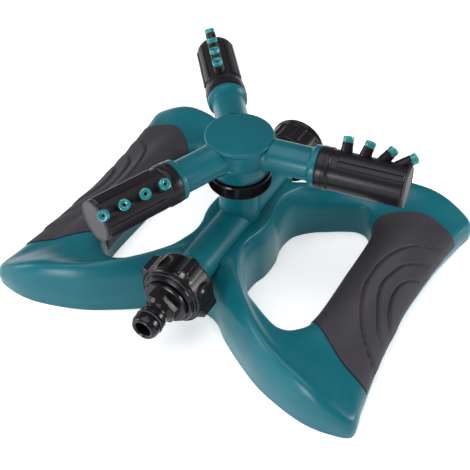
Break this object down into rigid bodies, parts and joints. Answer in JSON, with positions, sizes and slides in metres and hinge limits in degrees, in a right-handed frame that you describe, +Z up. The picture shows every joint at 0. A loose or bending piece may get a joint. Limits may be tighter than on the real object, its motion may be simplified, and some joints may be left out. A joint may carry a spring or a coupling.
{
  "type": "rotary garden sprinkler",
  "caption": "Three-arm rotary garden sprinkler on a butterfly base with hand holes, soft grips and twisting nozzle barrels.",
  "frame": {"origin": "on the ground under the rotor's axis, at the foot of the base's centre post", "axes": "+Z up along the rotor's axis, the water pipe along Y with the hose inlet at -Y, the two wings of the base along X"},
  "size_m": [0.2388, 0.2014, 0.1083],
  "materials": {
    "teal_plastic": "satin moulded plastic",
    "grip_rubber": "soft matt rubber",
    "black_plastic": "gloss moulded plastic",
    "barrel_plastic": "satin moulded plastic",
    "end_cap_plastic": "matt moulded plastic",
    "nozzle_plastic": "gloss moulded plastic",
    "bearing_plastic": "natural acetal",
    "seal_rubber": "matt rubber",
    "steel": "zinc plated"
  },
  "bodies": {
    "base": {"base_shell": "teal_plastic", "right_grip": "grip_rubber", "left_grip": "grip_rubber", "water_tee": "teal_plastic", "tee_screw_front": "steel", "tee_screw_back": "steel", "retaining_ring": "black_plastic", "riser_bush": "bearing_plastic", "thrust_washer": "bearing_plastic"},
    "rotor": {"spindle": "bearing_plastic", "spindle_o_ring": "seal_rubber", "rotor_body": "teal_plastic", "hub_cap": "teal_plastic", "left_arm_o_ring": "seal_rubber", "right_arm_o_ring": "seal_rubber", "back_arm_o_ring": "seal_rubber"},
    "left_barrel": {"left_barrel": "barrel_plastic", "left_barrel_end_cap": "end_cap_plastic", "left_nozzle_1": "nozzle_plastic", "left_nozzle_2": "nozzle_plastic", "left_nozzle_3": "nozzle_plastic", "left_nozzle_4": "nozzle_plastic"},
    "right_barrel": {"right_barrel": "barrel_plastic", "right_barrel_end_cap": "end_cap_plastic", "right_nozzle_1": "nozzle_plastic", "right_nozzle_2": "nozzle_plastic", "right_nozzle_3": "nozzle_plastic", "right_nozzle_4": "nozzle_plastic"},
    "back_barrel": {"back_barrel": "barrel_plastic", "back_barrel_end_cap": "end_cap_plastic", "back_nozzle_1": "nozzle_plastic", "back_nozzle_2": "nozzle_plastic", "back_nozzle_3": "nozzle_plastic", "back_nozzle_4": "nozzle_plastic"},
    "inlet": {"inlet_connector": "black_plastic", "connector_o_ring": "seal_rubber", "inlet_washer": "seal_rubber"},
    "inlet_nut": {"inlet_nut": "black_plastic"},
    "outlet_seal": {"outlet_washer": "seal_rubber"},
    "outlet_cap": {"outlet_cap": "black_plastic"}
  },
  "joints": [
    {"name": "rotor_spin", "type": "hinge", "parent": "base", "child": "rotor", "pos_m": [0, 0, 0.0882], "axis": [0, 0, 1], "continuous": true},
    {"name": "left_barrel_twist", "type": "hinge", "parent": "rotor", "child": "left_barrel", "pos_m": [0, 0, 0.0882], "axis": [0.3649, 0.9311, 0], "range_deg": [-132, 48]},
    {"name": "right_barrel_twist", "type": "hinge", "parent": "rotor", "child": "right_barrel", "pos_m": [0, 0, 0.0882], "axis": [-0.9888, -0.1495, 0], "range_deg": [-122, 58]},
    {"name": "back_barrel_twist", "type": "hinge", "parent": "rotor", "child": "back_barrel", "pos_m": [0, 0, 0.0882], "axis": [0.6239, -0.7815, 0], "range_deg": [-102, 78]},
    {"name": "inlet_slide", "type": "slide", "parent": "base", "child": "inlet", "axis": [0, -1, 0], "range_m": [0, 0.00907]},
    {"name": "inlet_nut_spin", "type": "hinge", "parent": "inlet", "child": "inlet_nut", "pos_m": [0, -0.07, 0.037], "axis": [0, -1, 0], "range_deg": [0, 1800]},
    {"name": "outlet_slide", "type": "slide", "parent": "base", "child": "outlet_seal", "axis": [0, 1, 0], "range_m": [0, 0.00907]},
    {"name": "outlet_cap_spin", "type": "hinge", "parent": "outlet_seal", "child": "outlet_cap", "pos_m": [0, 0.07, 0.037], "axis": [0, 1, 0], "range_deg": [0, 1800]}
  ],
  "couplings": [
    {"joint": "inlet_nut_spin", "follows": "inlet_slide", "rad_per_m": 3463.7},
    {"joint": "outlet_cap_spin", "follows": "outlet_slide", "rad_per_m": 3463.7}
  ]
}
